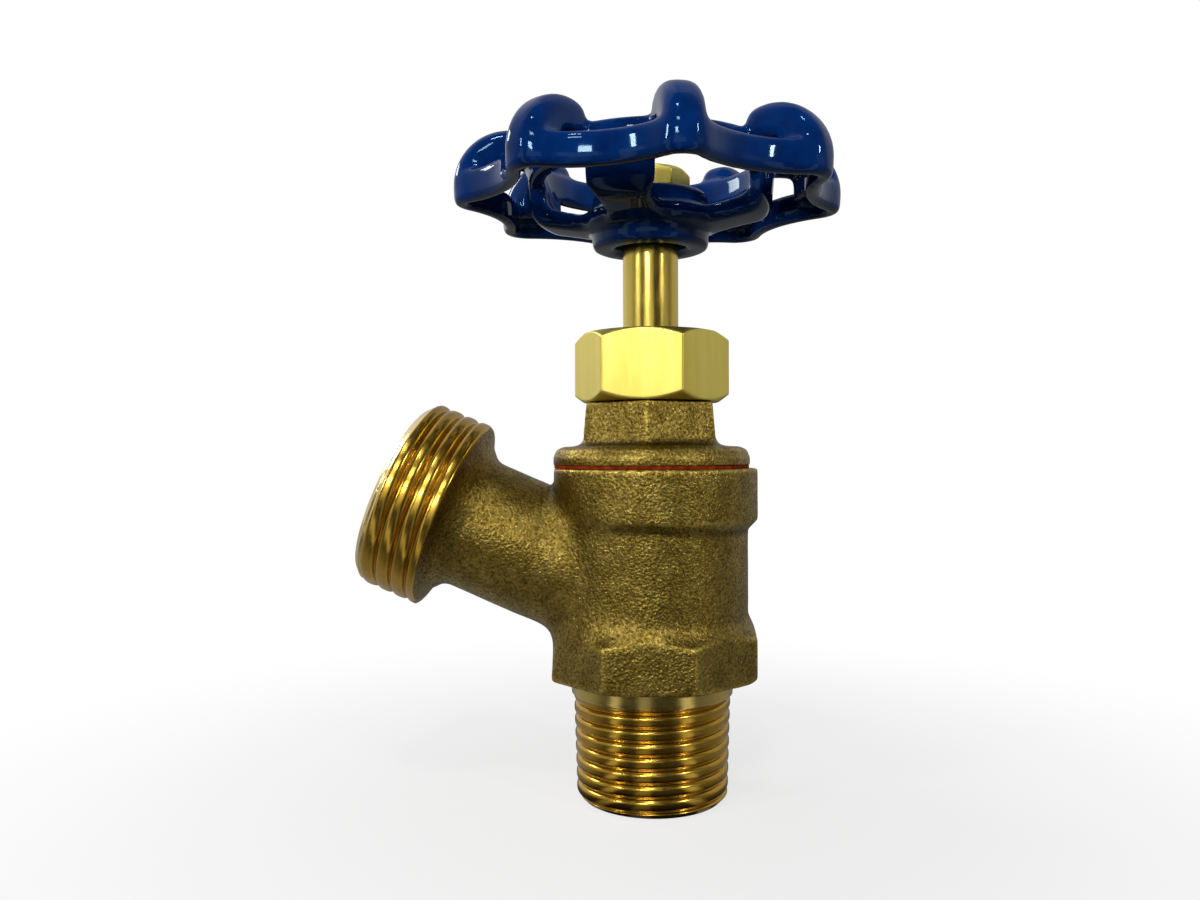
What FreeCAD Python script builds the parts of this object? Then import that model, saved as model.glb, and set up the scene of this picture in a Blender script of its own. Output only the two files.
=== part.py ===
import FreeCAD, Part
import Sketcher
import math
import os
from FreeCAD import Placement, Rotation, Vector

# Boiler drain valve, 1/2 inch male pipe inlet and 3/4 inch hose outlet.
# Millimetres. Origin: centre of the inlet's end face, on the stem's axis.
# +Z runs up the stem, -X is the spout's side and -Y is the front.
# The valve is modelled fully open.

doc = FreeCAD.newDocument("boiler_drain_valve")
sheet = doc.addObject("Spreadsheet::Sheet", "Sizes")

# Driving dimensions: name, value in millimetres (or degrees), meaning
dimensions = [
    ("inletPitch", 1.814, "inlet thread, 14 to the inch"),
    ("inletTipRadius", 10.36, "crest radius at the inlet's small end"),
    ("inletTaperAngle", 1.79, "half angle of the taper thread, degrees"),
    ("inletThreadDepth", 1.2, "crest to root"),
    ("inletThreadLength", 14.2, "threaded length"),
    ("inletRingRadius", 11.1, "plain turned ring above the thread"),
    ("inletRingHeight", 2.4, "height of that ring"),
    ("inletBoreRadius", 6.35, "waterway up to the seat"),
    ("inletChamfer", 0.8, "lead chamfer on the thread's end"),
    ("baseFlats", 28.3, "eight-sided wrench section across flats"),
    ("baseHeight", 6.7, "straight height of the wrench section"),
    ("baseShoulder", 1.9, "height of the slope into the barrel"),
    ("baseCornerTrim", 0.8, "trim of the lower corners"),
    ("baseSpoutSide", 13.25, "flat under the spout, from the stem's axis"),
    ("barrelRadius", 13.3, "cast barrel"),
    ("bodyHeight", 28.5, "wrench section's underside to the joint face"),
    ("collarRadius", 14.1, "thickened ring under the joint face"),
    ("collarOffset", 0.55, "casting shift of that ring away from the spout"),
    ("collarHeight", 7.0, "height of its straight side"),
    ("collarBevel", 1.0, "bevel under it"),
    ("seatWidth", 1.8, "radial width of the seat"),
    ("seatRise", 1.5, "seat face above the chamber's floor"),
    ("chamberRadius", 10.7, "chamber around the disc"),
    ("bonnetThreadRadius", 11.3, "bonnet's screwed spigot"),
    ("bonnetThreadLength", 5.6, "length of the spigot below the joint face"),
    ("threadClearance", 0.05, "radial play of a plain stand-in thread"),
    ("spoutAngle", 23.2, "rise of the spout's axis, degrees"),
    ("spoutHeight", 10.15, "spout axis on the stem's axis, above the underside"),
    ("spoutReach", 38.85, "along the spout's axis to the mouth"),
    ("neckRadius", 9.2, "outside of the spout's neck"),
    ("neckBoreRadius", 6.6, "waterway in the neck"),
    ("mouthBoreRadius", 9.0, "wider waterway in the mouth"),
    ("mouthBoreDepth", 8.0, "depth of the wider waterway"),
    ("hosePitch", 2.209, "hose thread, 11.5 to the inch"),
    ("hoseRadius", 13.46, "crest radius of the hose thread"),
    ("hoseThreadDepth", 1.3, "crest to root"),
    ("hoseThreadLength", 8.25, "mouth back to the cast collar"),
    ("hoseChamfer", 0.8, "lead chamfer at the mouth"),
    ("hoseCollarRadius", 13.3, "thin cast collar behind the hose thread"),
    ("hoseCollarThickness", 1.3, "its thickness"),
    ("hoseCoveLength", 2.6, "cove from the collar down to the neck"),
    ("gasketThickness", 0.4, "red fibre gasket, squeezed"),
    ("gasketRadius", 13.45, "outside of the gasket"),
    ("flangeRadius", 13.6, "bonnet's flange"),
    ("flangeThickness", 2.6, "its thickness"),
    ("flangeRound", 1.5, "rounded top edge of the flange"),
    ("neckFlatsLow", 18.2, "six-sided bonnet neck across flats, foot"),
    ("neckFlatsHigh", 17.0, "the same at its top"),
    ("neckHeight", 5.95, "height of the six-sided neck"),
    ("neckTurn", -2.0, "turn of the neck about the stem, degrees"),
    ("glandNeckRadius", 8.0, "screwed neck inside the packing nut"),
    ("glandNeckHeight", 6.3, "its height above the six-sided neck"),
    ("packingBoreRadius", 6.1, "packing chamber"),
    ("packingFloorHeight", 0.95, "chamber floor above the six-sided neck"),
    ("packingFloorThickness", 1.0, "web between packing and stem thread"),
    ("packingRingThickness", 1.35, "one ring of packing"),
    ("bonnetBoreRadius", 6.2, "relief under the bonnet's stem thread"),
    ("bonnetBoreDepth", 2.0, "its depth from the spigot's end"),
    ("nutFlats", 19.05, "packing nut across flats"),
    ("nutHeight", 9.4, "its height"),
    ("nutPlate", 2.6, "thickness of its top"),
    ("nutGap", 0.15, "nut above the six-sided neck"),
    ("nutTurn", -4.4, "turn of the nut about the stem, degrees"),
    ("nutChamferDrop", 1.0, "height of the chamfer at a corner"),
    ("stemRadius", 3.83, "polished stem"),
    ("stemClearance", 0.06, "radial play of the stem in its packing"),
    ("stemHoleClearance", 0.2, "radial play of the stem in metal"),
    ("stemExposed", 11.6, "bare stem above the packing nut when open"),
    ("leadPitch", 2.117, "stem thread, 12 to the inch, right hand"),
    ("leadTurns", 3.0, "turns from open to shut"),
    ("leadRadius", 5.3, "crest radius of the stem thread"),
    ("leadDepth", 0.85, "crest to root"),
    ("leadCrest", 0.785, "width of the crest"),
    ("leadFlankAngle", 14.5, "flank angle, degrees"),
    ("leadPlay", 0.13, "play of the stem thread on each flank"),
    ("openClearance", 0.88, "disc holder below the bonnet's thread, fully open"),
    ("seatGap", 0.05, "washer to seat when shut"),
    ("washerRadius", 7.5, "rubber seat washer"),
    ("washerThickness", 3.2, "its thickness"),
    ("washerHoleRadius", 2.2, "its hole"),
    ("holderRim", 0.9, "radial thickness of the disc holder's rim"),
    ("holderRimDepth", 1.0, "rim's overlap on the washer"),
    ("holderPlate", 3.4, "solid plate of the disc holder"),
    ("holderFlange", 1.8, "thickness of its wide part"),
    ("holderBossRadius", 5.3, "boss that holds the stem's button"),
    ("buttonRadius", 3.6, "button on the stem's lower end"),
    ("buttonHeight", 2.0, "its thickness"),
    ("buttonNeckRadius", 2.5, "neck above the button"),
    ("buttonPlay", 0.1, "play of the button in its pocket"),
    ("holderLip", 0.9, "lip rolled over the button"),
    ("screwRadius", 2.0, "seat washer screw"),
    ("screwHeadRadius", 3.5, "its head"),
    ("screwHeadHeight", 1.8, "height of the head"),
    ("screwSlotWidth", 0.9, "slot in the head"),
    ("screwReach", 2.9, "screw's engagement in the disc holder"),
    ("hubRadius", 8.1, "handwheel hub"),
    ("hubHeight", 7.7, "its height"),
    ("hubCounterRadius", 4.8, "recess around the stem under the hub"),
    ("hubCounterDepth", 2.0, "its depth"),
    ("squareFlats", 5.6, "square end of the stem"),
    ("squareClearance", 0.05, "play of the square in the hub"),
    ("wheelLobes", 8.0, "knuckles around the rim"),
    ("wheelTipRadius", 27.1, "rim at a knuckle"),
    ("wheelDip", 4.0, "how far the rim draws in between two knuckles"),
    ("wheelTipRound", 3.9, "plan radius of a knuckle's end"),
    ("wheelTurn", 10.4, "turn of the wheel about the stem, degrees"),
    ("rimRise", 5.7, "rim's lower edge above the hub's lower face"),
    ("rimWall", 4.3, "height of the rim's wall"),
    ("rimThickness", 2.0, "thickness of that wall"),
    ("rimEdge", 0.5, "break of the rim's edges"),
    ("knuckleRadius", 7.7, "rounded back of a knuckle, seen from its side"),
    ("knuckleBite", 1.3, "knuckle's reach into the inner ring's wall"),
    ("knuckleWidth", 5.3, "its thickness"),
    ("knuckleRound", 1.9, "rounding of its edges"),
    ("knuckleHeight", 8.3, "its centre above the hub's lower face"),
    ("knuckleSeat", 2.1, "its underside between rim and ring, below the ring's top"),
    ("spokeWidth", 6.9, "width of one of the four spokes"),
    ("spokeRise", 2.5, "spoke underside at the hub above the hub's face"),
    ("dishRise", 1.6, "rise of the underside out to the spoke's bend"),
    ("dishRadius", 16.6, "outside of the spokes' upright part"),
    ("dishLean", 0.7, "lean of that part outwards"),
    ("dishWall", 9.2, "height of the upright part with the inner ring"),
    ("ringHeight", 4.3, "height of the inner ring that tops it"),
    ("dishThickness", 2.3, "thickness of the spokes"),
    ("dishRound", 2.6, "rounding under the spoke's bend"),
    ("windowInnerRadius", 9.3, "inner edge of the windows"),
    ("windowRound", 3.3, "rounded corners of the windows"),
    ("wheelNutFlats", 9.525, "handwheel nut across flats"),
    ("wheelNutHeight", 3.2, "its height"),
    ("wheelNutTurn", 3.0, "turn of that nut, degrees"),
    ("studRadius", 2.41, "screwed end of the stem"),
    ("studProud", 0.6, "stem's end above the nut"),
]


class Size:
    """A number together with the sheet formula that gives it."""

    def __init__(self, value, formula):
        self.value = value
        self.formula = formula

    def __add__(self, other):
        other = asSize(other)
        return Size(self.value + other.value, f"({self.formula} + {other.formula})")

    def __sub__(self, other):
        other = asSize(other)
        return Size(self.value - other.value, f"({self.formula} - {other.formula})")

    def __mul__(self, other):
        other = asSize(other)
        return Size(self.value * other.value, f"({self.formula} * {other.formula})")

    def __truediv__(self, other):
        other = asSize(other)
        return Size(self.value / other.value, f"({self.formula} / {other.formula})")


def asSize(number):
    if isinstance(number, Size):
        return number
    return Size(float(number), f"{float(number):.6f}")


def cosine(angle):
    return Size(math.cos(math.radians(angle.value)), f"cos({angle.formula} * 1 deg)")


def tangent(angle):
    return Size(math.tan(math.radians(angle.value)), f"tan({angle.formula} * 1 deg)")


for row, (name, number, meaning) in enumerate(dimensions, start=1):
    sheet.set(f"A{row}", name)
    sheet.set(f"B{row}", str(number))
    sheet.setAlias(f"B{row}", name)
    sheet.set(f"C{row}", meaning)
doc.recompute()

size = {name: Size(float(sheet.get(name)), f"Sizes.{name}") for name, number, meaning in dimensions}
zero = Size(0.0, "0")

# Heights that several pieces share, from the inlet's end face upwards
baseBottom = size["inletThreadLength"] + size["inletRingHeight"]
baseTop = baseBottom + size["baseHeight"]
jointFace = baseBottom + size["bodyHeight"]
collarBottom = jointFace - size["collarHeight"]
gasketTop = jointFace + size["gasketThickness"]
flangeTop = gasketTop + size["flangeThickness"]
neckTop = flangeTop + size["neckHeight"]
glandNeckTop = neckTop + size["glandNeckHeight"]
packingFloor = neckTop + size["packingFloorHeight"]
stemThreadEnd = packingFloor - size["packingFloorThickness"]
packingTop = packingFloor + size["packingRingThickness"] * 3
nutBottom = neckTop + size["nutGap"]
nutTop = nutBottom + size["nutHeight"]
nutCeiling = nutTop - size["nutPlate"]
spigotBottom = jointFace - size["bonnetThreadLength"]
bonnetThreadStart = spigotBottom + size["bonnetBoreDepth"]
spoutOrigin = baseBottom + size["spoutHeight"]
spoutLean = size["spoutAngle"] - 90

# The disc stack with the valve open, from the bonnet downwards to the seat
lift = size["leadPitch"] * size["leadTurns"]
holderTop = bonnetThreadStart - size["openClearance"]
pocketTop = holderTop - size["holderLip"]
buttonTop = pocketTop - size["buttonPlay"] / 5
buttonBottom = buttonTop - size["buttonHeight"]
plateTop = buttonBottom - size["buttonPlay"]
washerTop = plateTop - size["holderPlate"]
washerBottom = washerTop - size["washerThickness"]
seatTop = washerBottom - lift - size["seatGap"]
chamberFloor = seatTop - size["seatRise"]
leadBottom = holderTop + size["buttonPlay"] * 4
leadTop = stemThreadEnd - size["leadPlay"]
threadRelief = stemThreadEnd - size["leadPitch"]

# The handwheel with the valve open
hubBottom = nutTop + size["stemExposed"]
stemShoulder = hubBottom + size["hubCounterDepth"]
hubTop = hubBottom + size["hubHeight"]
wheelNutTop = hubTop + size["wheelNutHeight"]
ringTop = hubBottom + size["spokeRise"] + size["dishRise"] + size["dishWall"]
ringRadius = size["dishRadius"] + size["dishLean"]
rimValley = size["wheelTipRadius"] - size["wheelDip"]
stemTop = wheelNutTop + size["studProud"]

stemHoleRadius = size["stemRadius"] + size["stemHoleClearance"]
packingHoleRadius = size["stemRadius"] + size["stemClearance"]
stemCoreRadius = size["leadRadius"] - size["leadDepth"]
overshoot = Size(1.0, "1")
upwards = Vector(0, 0, 1)


def bind(thing, values):
    """Bind properties of an object to their formulas."""
    for name, amount in values.items():
        thing.setExpression(name, asSize(amount).formula)


def place(thing, across, up, axis, angle):
    """Bind a whole placement: a shift along X and Z after a turn about an axis."""
    shift = f"vector({asSize(across).formula}; 0; {asSize(up).formula})"
    spin = f"rotation(vector({axis.x:.0f}; {axis.y:.0f}; {axis.z:.0f}); {asSize(angle).formula})"
    thing.setExpression("Placement", f"placement({shift}; {spin})")
    return thing


def originPlane(body, role):
    for feature in body.Origin.OriginFeatures:
        if feature.Role == role:
            return feature
    raise ValueError(role)


def profileSketch(body, name, points):
    """Closed outline in the XZ plane; each corner (radius, height) is bound."""
    sketch = body.newObject("Sketcher::SketchObject", name)
    sketch.AttachmentSupport = [(originPlane(body, "XZ_Plane"), "")]
    sketch.MapMode = "FlatFace"
    corners = [(asSize(across), asSize(up)) for across, up in points]
    count = len(corners)
    for index in range(count):
        here = corners[index]
        following = corners[(index + 1) % count]
        start = Vector(here[0].value, here[1].value, 0)
        end = Vector(following[0].value, following[1].value, 0)
        sketch.addGeometry(Part.LineSegment(start, end))
    for index in range(count):
        sketch.addConstraint(Sketcher.Constraint("Coincident", index, 2, (index + 1) % count, 1))
    for index, (across, up) in enumerate(corners):
        for kind, amount, axis in (("DistanceX", across, -2), ("DistanceY", up, -1)):
            if amount is zero:
                sketch.addConstraint(Sketcher.Constraint("PointOnObject", index, 1, axis))
            else:
                number = sketch.addConstraint(
                    Sketcher.Constraint(kind, -1, 1, index, 1, amount.value))
                sketch.setExpression(f"Constraints[{number}]", amount.formula)
    return sketch


def turned(name, points):
    """A piece turned about its own Z axis from a closed outline."""
    body = doc.addObject("PartDesign::Body", name)
    sketch = profileSketch(body, name + "Outline", points)
    turn = body.newObject("PartDesign::Revolution", name + "Turn")
    turn.Profile = sketch
    turn.ReferenceAxis = (sketch, ["V_Axis"])
    turn.Angle = 360
    return body


def ring(name, inner, outer, low, high):
    return turned(name, [(inner, low), (outer, low), (outer, high), (inner, high)])


def rod(name, radius, low, high):
    return turned(name, [(zero, low), (radius, low), (radius, high), (zero, high)])


def join(name, pieces):
    fused = doc.addObject("Part::MultiFuse", name)
    fused.Shapes = pieces
    fused.Refine = False
    return fused


def cutAway(name, base, tools):
    tool = tools[0]
    if len(tools) > 1:
        tool = join(name + "Tools", tools)
    cut = doc.addObject("Part::Cut", name)
    cut.Base = base
    cut.Tool = tool
    cut.Refine = False
    return cut


def prism(name, sides, flats, low, height, turn):
    """Regular prism about the stem's axis, a flat towards the front at no turn."""
    solid = doc.addObject("Part::Prism", name)
    solid.Polygon = sides
    corner = flats / 2 / cosine(asSize(180.0 / sides))
    bind(solid, {"Circumradius": corner, "Height": height})
    return place(solid, zero, low, upwards, turn)


def chamferedPrism(name, flats, low, high, turn, drop):
    """Six-sided blank whose corners are turned off at both ends."""
    blank = prism(name + "Blank", 6, flats, low, high - low, turn)
    face = flats / 2
    corner = face / cosine(asSize(30.0)) + 0.01
    envelope = turned(name + "Envelope", [
        (zero, low), (face, low), (corner, low + drop),
        (corner, high - drop), (face, high), (zero, high)])
    common = doc.addObject("Part::MultiCommon", name)
    common.Shapes = [blank, envelope]
    return common


def sweepThread(name, outline, pitch, length, radius, taper, placement):
    """Sweep an outline of (radius, height) points along a helix about Z."""
    corners = [Vector(across, 0, up) for across, up in outline]
    section = Part.makePolygon(corners + corners[:1])
    path = Part.makeLongHelix(pitch, length, radius, taper)
    tool = doc.addObject("Part::Feature", name)
    tool.Shape = path.makePipeShell([section], True, True)
    tool.Placement = placement
    return tool


def screwPlacement(height, pitch, turn=20.0):
    """Raise a helix to a height and turn its start off the turned blank's seam."""
    return Placement(Vector(0, 0, height + pitch * turn / 360), Rotation(Vector(0, 0, 1), turn))


def threadTool(name, pitch, length, surface, depth, crest, flank, placement, taper=0.0):
    """Helical cutter for an outside thread; its sides turn upright just off the surface."""
    slope = math.tan(math.radians(flank))
    half = (pitch - crest) / 2
    root = half - depth * slope
    clear = 0.1
    wide = half + clear * slope
    proud = clear * 5
    outline = [(surface - depth, -root), (surface + clear, -wide), (surface + proud, -wide),
               (surface + proud, wide), (surface + clear, wide), (surface - depth, root)]
    return sweepThread(name, outline, pitch, length, surface, taper, placement)


def spoutPlacement():
    return Placement(Vector(0, 0, spoutOrigin.value), Rotation(Vector(0, 1, 0), spoutLean.value))


def onSpout(piece):
    return place(piece, zero, spoutOrigin, Vector(0, 1, 0), spoutLean)


# Valve body: inlet thread, wrench section, barrel, collar and spout


def inletSleeve():
    """Taper-threaded stub; it runs up into the turned ring, which hides the thread's end."""
    low = zero
    high = size["inletThreadLength"] + size["inletRingHeight"] / 2
    taper = tangent(size["inletTaperAngle"])
    tip = size["inletTipRadius"]
    blank = turned("InletBlank", [
        (zero, low), (tip - size["inletChamfer"], low),
        (tip + taper * size["inletChamfer"], size["inletChamfer"]),
        (tip + taper * high, high), (zero, high)])
    pitch = size["inletPitch"].value
    start = -pitch
    cutter = threadTool("InletThreadTool", pitch, size["inletThreadLength"].value + pitch * 1.3,
                        tip.value + taper.value * start, size["inletThreadDepth"].value,
                        pitch / 8, 30.0, screwPlacement(start, pitch),
                        size["inletTaperAngle"].value)
    return cutAway("InletSleeve", blank, [cutter])


def wrenchSection():
    """Eight-sided foot with trimmed corners and a sloping shoulder."""
    height = size["baseHeight"] + size["baseShoulder"]
    blank = prism("BaseBlank", 8, size["baseFlats"], baseBottom, height, asSize(22.5))
    corner = size["baseFlats"] / 2 / cosine(asSize(22.5)) + 0.01
    trim = size["baseCornerTrim"]
    top = baseBottom + height
    envelope = turned("BaseEnvelope", [
        (zero, baseBottom), (corner - trim, baseBottom), (corner, baseBottom + trim),
        (corner, baseTop - size["baseShoulder"] / 3), (size["baseFlats"] / 2, baseTop),
        (size["barrelRadius"], top), (zero, top)])
    room = doc.addObject("Part::Box", "BaseRoom")
    bind(room, {"Length": size["baseFlats"] / 2 + size["baseSpoutSide"] + overshoot,
                "Width": size["baseFlats"] * 2, "Height": height,
                "Placement.Base.x": zero - size["baseSpoutSide"],
                "Placement.Base.y": zero - size["baseFlats"],
                "Placement.Base.z": baseBottom})
    common = doc.addObject("Part::MultiCommon", "WrenchSection")
    common.Shapes = [blank, envelope, room]
    return common


def spoutCasting():
    """Neck, cove and thin collar, along the spout's own axis."""
    mouth = size["spoutReach"]
    front = mouth - size["hoseThreadLength"]
    back = front - size["hoseCollarThickness"]
    neck = size["neckRadius"]
    rim = size["hoseCollarRadius"]
    depth = rim - neck
    length = size["hoseCoveLength"]
    outline = [(zero, zero), (neck, zero), (neck, back - length)]
    steps = 5
    for step in range(1, steps):
        swing = math.radians(90.0 * step / steps)
        outline.append((neck + depth * (1 - math.cos(swing)),
                        back - length * (1 - math.sin(swing))))
    edge = size["hoseCollarThickness"] / 4
    outline += [(rim - edge, back), (rim, back + edge), (rim, front - edge),
                (rim - edge, front), (zero, front)]
    return onSpout(turned("SpoutCasting", outline))


def hoseSleeve():
    """Parallel hose thread; its blank starts inside the thin collar."""
    mouth = size["spoutReach"]
    start = mouth - size["hoseThreadLength"] - size["hoseCollarThickness"] / 2
    crest = size["hoseRadius"]
    chamfer = size["hoseChamfer"]
    blank = onSpout(turned("HoseBlank", [
        (zero, start), (crest, start), (crest, mouth - chamfer),
        (crest - chamfer, mouth), (zero, mouth)]))
    pitch = size["hosePitch"].value
    firstGroove = mouth.value - pitch * 0.84
    grooves = math.ceil(size["hoseThreadLength"].value / pitch)
    low = firstGroove - pitch * (grooves - 1)
    cutter = threadTool("HoseThreadTool", pitch, pitch * (grooves + 0.4), crest.value,
                        size["hoseThreadDepth"].value, pitch / 8, 30.0,
                        spoutPlacement().multiply(screwPlacement(low, pitch)))
    undercut = onSpout(ring("HoseUndercut", crest - size["hoseThreadDepth"], crest + overshoot,
                            start - overshoot, start + size["hoseCollarThickness"]))
    return cutAway("HoseSleeve", blank, [cutter, undercut])


def waterways():
    """Inlet bore, seat, chamber and bonnet thread, and the spout's two bores."""
    seatOuter = size["inletBoreRadius"] + size["seatWidth"]
    bonnetBore = size["bonnetThreadRadius"] + size["threadClearance"]
    main = turned("MainWaterway", [
        (zero, zero - overshoot), (size["inletBoreRadius"], zero - overshoot),
        (size["inletBoreRadius"], seatTop), (seatOuter, seatTop), (seatOuter, chamberFloor),
        (size["chamberRadius"], chamberFloor), (size["chamberRadius"], spigotBottom),
        (bonnetBore, spigotBottom), (bonnetBore, jointFace + overshoot),
        (zero, jointFace + overshoot)])
    mouth = size["spoutReach"]
    step = mouth - size["mouthBoreDepth"]
    neck = size["neckBoreRadius"]
    wide = size["mouthBoreRadius"]
    spout = onSpout(turned("SpoutWaterway", [
        (zero, size["chamberRadius"]), (neck, size["chamberRadius"]),
        (neck, step - (wide - neck)), (wide, step), (wide, mouth + overshoot),
        (zero, mouth + overshoot)]))
    return [main, spout]


def valveBody():
    barrel = rod("Barrel", size["barrelRadius"], baseBottom, jointFace)
    bevel = size["collarBevel"]
    collar = turned("Collar", [
        (zero, collarBottom - bevel), (size["collarRadius"] - bevel, collarBottom - bevel),
        (size["collarRadius"], collarBottom), (size["collarRadius"], jointFace),
        (zero, jointFace)])
    place(collar, size["collarOffset"], zero, upwards, zero)
    inletRing = rod("InletRing", size["inletRingRadius"], size["inletThreadLength"], baseTop)
    casting = join("Casting", [barrel, collar, wrenchSection(), inletRing, spoutCasting(),
                               inletSleeve(), hoseSleeve()])
    return cutAway("ValveBody", casting, waterways())


# Bonnet, gasket, packing and packing nut


def bonnet():
    flangeEdge = size["flangeRound"]
    flange = turned("BonnetFlange", [
        (zero, gasketTop), (size["flangeRadius"], gasketTop),
        (size["flangeRadius"], flangeTop - flangeEdge),
        (size["flangeRadius"] - flangeEdge * 0.3, flangeTop - flangeEdge * 0.3),
        (size["flangeRadius"] - flangeEdge, flangeTop), (zero, flangeTop)])
    low = prismFace("NeckFoot", size["neckFlatsLow"], flangeTop - size["flangeThickness"] / 2)
    high = prismFace("NeckHead", size["neckFlatsHigh"], neckTop)
    neck = doc.addObject("Part::Loft", "BonnetNeck")
    neck.Sections = [low, high]
    neck.Solid = True
    neck.Ruled = True
    spigot = rod("BonnetSpigot", size["bonnetThreadRadius"], spigotBottom, gasketTop)
    glandNeck = turned("GlandNeck", [
        (zero, flangeTop), (size["glandNeckRadius"], flangeTop),
        (size["glandNeckRadius"], glandNeckTop - size["threadClearance"] * 8),
        (size["glandNeckRadius"] - size["threadClearance"] * 8, glandNeckTop),
        (zero, glandNeckTop)])
    outside = join("BonnetOutside", [flange, neck, spigot, glandNeck])
    minor = stemCoreRadius + size["leadPlay"]
    major = size["leadRadius"] + size["leadPlay"]
    inside = turned("BonnetInside", [
        (zero, spigotBottom - overshoot), (size["bonnetBoreRadius"], spigotBottom - overshoot),
        (size["bonnetBoreRadius"], bonnetThreadStart), (minor, bonnetThreadStart),
        (minor, threadRelief), (major, threadRelief), (major, stemThreadEnd),
        (stemHoleRadius, stemThreadEnd), (stemHoleRadius, packingFloor),
        (size["packingBoreRadius"], packingFloor),
        (size["packingBoreRadius"], glandNeckTop + overshoot),
        (zero, glandNeckTop + overshoot)])
    return cutAway("Bonnet", outside, [inside, femaleLeadTool()])


def prismFace(name, flats, height):
    """Six-sided section of the bonnet's neck, a corner towards the front."""
    face = doc.addObject("Part::RegularPolygon", name)
    face.Polygon = 6
    bind(face, {"Circumradius": flats / 2 / cosine(asSize(30.0))})
    return place(face, zero, height, upwards, size["neckTurn"] - 90)


def femaleLeadTool():
    """Helical cutter for the bonnet's thread, in line with the stem's ridge; it starts
    in the open bore below the thread and ends inside the relief above it."""
    pitch = size["leadPitch"].value
    play = size["leadPlay"].value
    slope = math.tan(math.radians(size["leadFlankAngle"].value))
    crest = size["leadRadius"].value
    core = stemCoreRadius.value
    ridge = size["leadCrest"].value / 2 + play
    outer = crest + play
    inner = core - 0.3
    outline = [(inner, -(ridge + (crest - inner) * slope)), (outer, -(ridge - play * slope)),
               (outer, ridge - play * slope), (inner, ridge + (crest - inner) * slope)]
    start = ridgeHeight(bonnetThreadStart.value - pitch * 2)
    length = threadRelief.value + pitch / 2 - start
    return sweepThread("BonnetThreadTool", outline, pitch, length, crest, 0.0,
                       screwPlacement(start, pitch))


def ridgeHeight(above):
    """First height above the given one at which a ridge crosses the +X side."""
    pitch = size["leadPitch"].value
    first = leadBottom.value
    return first + math.ceil((above - first) / pitch) * pitch


def packingNut():
    hexagon = chamferedPrism("NutHexagon", size["nutFlats"], nutBottom, nutTop,
                             size["nutTurn"], size["nutChamferDrop"])
    thread = size["glandNeckRadius"] + size["threadClearance"]
    inside = turned("NutInside", [
        (zero, nutBottom - overshoot), (thread, nutBottom - overshoot), (thread, nutCeiling),
        (stemHoleRadius, nutCeiling), (stemHoleRadius, nutTop + overshoot),
        (zero, nutTop + overshoot)])
    return cutAway("PackingNut", hexagon, [inside])


# Stem, disc holder, seat washer and its screw


def stem():
    blank = turned("StemBlank", [
        (zero, buttonBottom), (size["buttonRadius"], buttonBottom),
        (size["buttonRadius"], buttonTop), (size["buttonNeckRadius"], buttonTop),
        (size["buttonNeckRadius"], leadBottom), (size["leadRadius"], leadBottom),
        (size["leadRadius"], leadTop), (size["stemRadius"], leadTop),
        (size["stemRadius"], stemShoulder), (zero, stemShoulder)])
    pitch = size["leadPitch"].value
    turns = math.ceil((leadTop.value - leadBottom.value) / pitch) + 1.5
    cutter = threadTool("LeadTool", pitch, turns * pitch, size["leadRadius"].value,
                        size["leadDepth"].value, size["leadCrest"].value,
                        size["leadFlankAngle"].value,
                        screwPlacement(leadBottom.value - pitch / 2, pitch))
    threaded = cutAway("StemThreaded", blank, [cutter])
    square = prism("StemSquare", 4, size["squareFlats"], stemShoulder - overshoot,
                   hubTop - stemShoulder - size["squareClearance"] * 6 + overshoot,
                   size["wheelTurn"])
    stud = turned("StemStud", [
        (zero, stemShoulder), (size["studRadius"], stemShoulder),
        (size["studRadius"], stemTop - size["studProud"] / 2),
        (size["studRadius"] - size["studProud"] / 2, stemTop), (zero, stemTop)])
    return join("Stem", [threaded, square, stud])


def discHolder():
    rimRadius = size["washerRadius"] + size["threadClearance"] + size["holderRim"]
    outside = turned("HolderOutside", [
        (zero, washerTop - size["holderRimDepth"]), (rimRadius, washerTop - size["holderRimDepth"]),
        (rimRadius, washerTop + size["holderFlange"]),
        (size["holderBossRadius"], washerTop + size["holderFlange"]),
        (size["holderBossRadius"], holderTop), (zero, holderTop)])
    washerRecess = rod("WasherRecess", size["washerRadius"] + size["threadClearance"],
                       washerTop - size["holderRimDepth"] - overshoot, washerTop)
    pocket = turned("ButtonPocket", [
        (zero, plateTop), (size["buttonRadius"] + size["buttonPlay"], plateTop),
        (size["buttonRadius"] + size["buttonPlay"], pocketTop),
        (size["buttonNeckRadius"] + size["buttonPlay"], pocketTop),
        (size["buttonNeckRadius"] + size["buttonPlay"], holderTop + overshoot),
        (zero, holderTop + overshoot)])
    screwHole = rod("HolderScrewHole", size["screwRadius"] + size["threadClearance"],
                    washerTop - overshoot, washerTop + size["screwReach"])
    return cutAway("DiscHolder", outside, [washerRecess, pocket, screwHole])


def seatWasher():
    edge = size["washerThickness"] / 8
    outer = size["washerRadius"]
    return turned("SeatWasher", [
        (size["washerHoleRadius"], washerBottom), (outer - edge, washerBottom),
        (outer, washerBottom + edge), (outer, washerTop), (size["washerHoleRadius"], washerTop)])


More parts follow.
